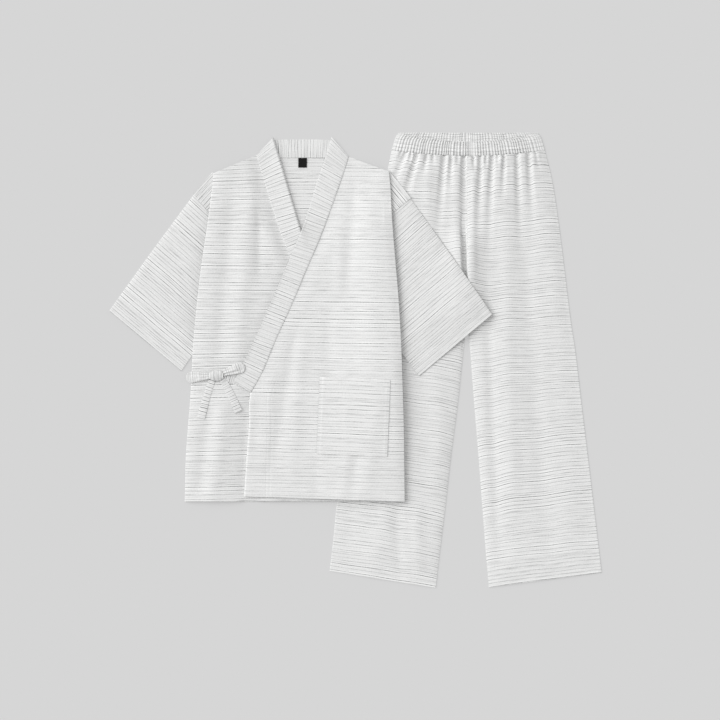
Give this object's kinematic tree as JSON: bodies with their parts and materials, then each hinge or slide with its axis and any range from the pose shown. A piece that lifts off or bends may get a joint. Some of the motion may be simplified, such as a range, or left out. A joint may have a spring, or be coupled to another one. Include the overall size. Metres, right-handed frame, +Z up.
{
  "type": "jinbei set",
  "caption": "Jinbei set laid flat: short-sleeved cross-over jacket tied with a side bow, patch pocket, and wide trousers with an elastic waist, partly under the jacket.",
  "frame": {"origin": "under the middle of the whole set, on the surface it lies on", "axes": "+X across the set, from the jacket to the trousers; +Y towards the neck and the waistband; +Z up, away from the surface"},
  "size_m": [1.034, 0.955, 0.0205],
  "materials": {
    "cloth": "off-white cotton with thin grey stripes, slightly crinkled",
    "label": "plain black woven label"
  },
  "bodies": {
    "root": {"back_panel": "cloth", "front_right": "cloth", "front_left": "cloth", "sleeve_right": "cloth", "sleeve_left": "cloth", "shoulder_right": "cloth", "shoulder_left": "cloth", "collar_right": "cloth", "collar_neck": "cloth", "collar_left": "cloth", "pocket": "cloth", "label": "label", "tie_side": "cloth", "tie_collar": "cloth", "tie_tail_right": "cloth", "tie_tail_left": "cloth", "bow_loop_right": "cloth", "bow_loop_left": "cloth", "bow_knot": "cloth", "leg_right": "cloth", "leg_left": "cloth", "waistband": "cloth"}
  },
  "joints": []
}
